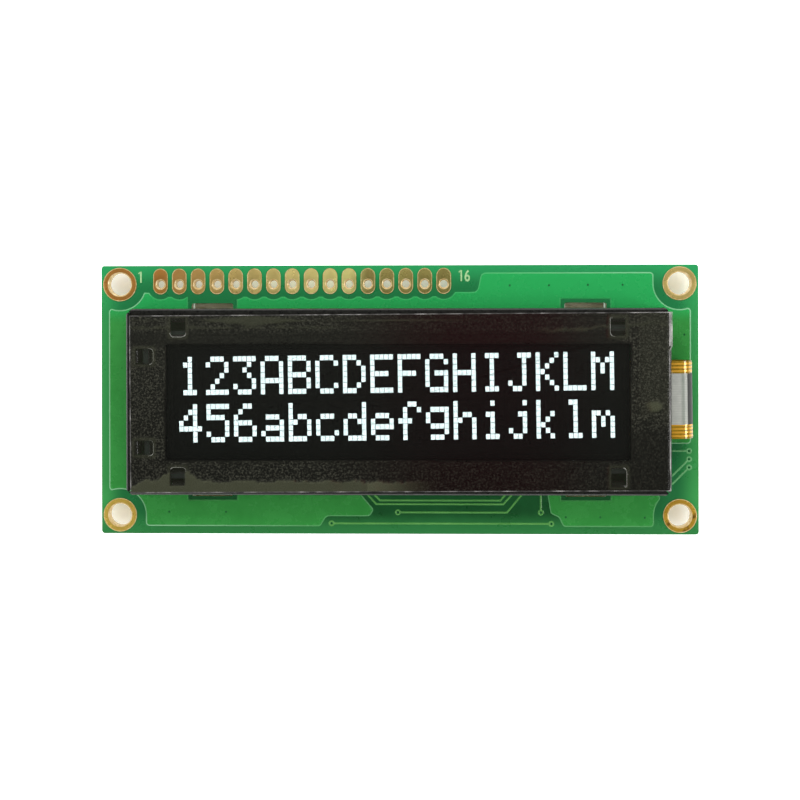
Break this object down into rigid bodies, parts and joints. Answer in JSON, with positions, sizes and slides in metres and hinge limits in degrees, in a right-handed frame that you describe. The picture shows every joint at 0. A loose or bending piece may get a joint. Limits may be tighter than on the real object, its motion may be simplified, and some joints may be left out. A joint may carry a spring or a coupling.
{
  "type": "character oled module",
  "caption": "Dot-matrix character display module: a light-emitting glass panel behind a black steel bezel on a green circuit board with a header row and mounting holes.",
  "frame": {"origin": "middle of the four mounting holes, on the rear face of the board's laminate", "axes": "+X along the board, +Y towards the header row, +Z out of the display's face"},
  "size_m": [0.08, 0.036, 0.008],
  "materials": {
    "solder_mask": "green lacquered glass-fibre laminate",
    "masked_copper": "copper under green lacquer",
    "gilding": "thin gold over nickel, satin",
    "black_paint": "satin black paint on sheet steel",
    "polarizer_film": "dark glossy film",
    "glass": "clear polished",
    "emitter": "lit white dots on black",
    "seal": "cured glue",
    "drying_sheet": "matt white",
    "foam": "closed-cell foam",
    "amber_film": "amber polyimide",
    "tin": "matt tin plating",
    "silicon": "bare silicon",
    "ferrite": "dark grey ferrite",
    "moulding": "black moulding compound",
    "resistor_glaze": "black glaze",
    "capacitor_ceramic": "tan ceramic"
  },
  "bodies": {
    "root": {"circuit_board": "solder_mask", "front_copper": "masked_copper", "front_tracks": "masked_copper", "mounting_rings": "gilding", "header_pads": "gilding", "bezel": "black_paint", "polarizer": "polarizer_film", "front_glass": "glass", "character_cells": "emitter", "edge_seal": "seal", "rear_glass": "glass", "desiccant_sheet": "drying_sheet", "foam_strips": "foam", "flex_film": "amber_film", "flex_leads": "tin", "driver_chip": "silicon", "flex_lands": "tin", "rear_copper": "masked_copper", "rear_tracks": "masked_copper", "rear_pads": "gilding", "power_inductor": "ferrite", "inductor_terminals": "tin", "rectifier_diode": "moulding", "diode_leads": "tin", "converter_chip": "moulding", "converter_leads": "tin", "resistor_bodies": "resistor_glaze", "resistor_caps": "tin", "capacitor_bodies": "capacitor_ceramic", "capacitor_caps": "tin"}
  },
  "joints": []
}
